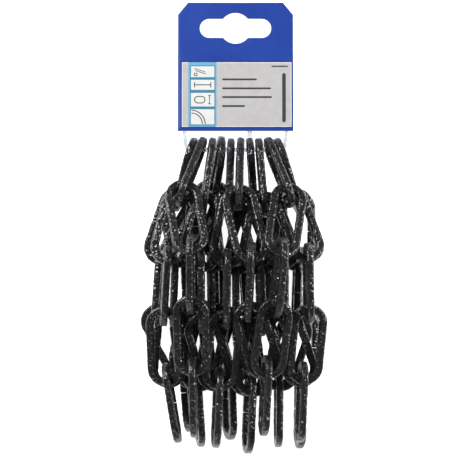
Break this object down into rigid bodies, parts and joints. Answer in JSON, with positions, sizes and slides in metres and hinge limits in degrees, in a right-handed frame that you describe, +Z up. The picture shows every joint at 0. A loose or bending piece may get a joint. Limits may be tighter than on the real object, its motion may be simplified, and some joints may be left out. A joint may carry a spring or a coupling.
{
  "type": "hank of decorative chain on a header card",
  "caption": "Black hammered oval-link decorative chain, folded in a hank on a clear plastic loop under a punched blue header card.",
  "frame": {"origin": "on the floor, under the middle of the box around the hank and its card, which lie on their back", "axes": "+Y from the chain's lowest fold to the card's top edge, +Z up, towards whoever looks at the card's face, +X to the right"},
  "size_m": [0.0842, 0.203, 0.0585],
  "materials": {
    "black_paint": "hammered, semi-gloss black",
    "blue_card": "printed and coated board",
    "clear_plastic": "clear, smooth"
  },
  "bodies": {
    "root": {"back_fold_01": "black_paint", "back_fold_02": "black_paint", "back_fold_04": "black_paint", "back_fold_06": "black_paint", "back_fold_08": "black_paint", "back_fold_10": "black_paint", "end_link_20": "black_paint", "fold_link_10": "black_paint", "fold_link_12": "black_paint", "fold_link_14": "black_paint", "fold_link_16": "black_paint", "fold_link_18": "black_paint", "hanger_loop": "clear_plastic", "header_card": "blue_card", "link_11_2": "black_paint", "link_11_3": "black_paint", "link_11_4": "black_paint", "link_12_2": "black_paint", "link_12_3": "black_paint", "link_12_4": "black_paint", "link_13_2": "black_paint", "link_13_3": "black_paint", "link_13_4": "black_paint", "link_14_2": "black_paint", "link_14_3": "black_paint", "link_14_4": "black_paint", "link_15_2": "black_paint", "link_15_3": "black_paint", "link_15_4": "black_paint", "link_16_2": "black_paint", "link_16_3": "black_paint", "link_16_4": "black_paint", "link_17_2": "black_paint", "link_17_3": "black_paint", "link_17_4": "black_paint", "link_18_2": "black_paint", "link_18_3": "black_paint", "link_18_4": "black_paint", "link_19_2": "black_paint", "link_19_3": "black_paint", "link_19_4": "black_paint", "link_20_2": "black_paint", "link_20_3": "black_paint", "link_20_4": "black_paint", "loop_tail": "clear_plastic", "ring_link_01": "black_paint", "ring_link_02": "black_paint", "ring_link_03": "black_paint", "ring_link_04": "black_paint", "ring_link_05": "black_paint", "ring_link_06": "black_paint", "ring_link_07": "black_paint", "ring_link_08": "black_paint", "ring_link_09": "black_paint", "ring_link_10": "black_paint"}
  },
  "joints": []
}
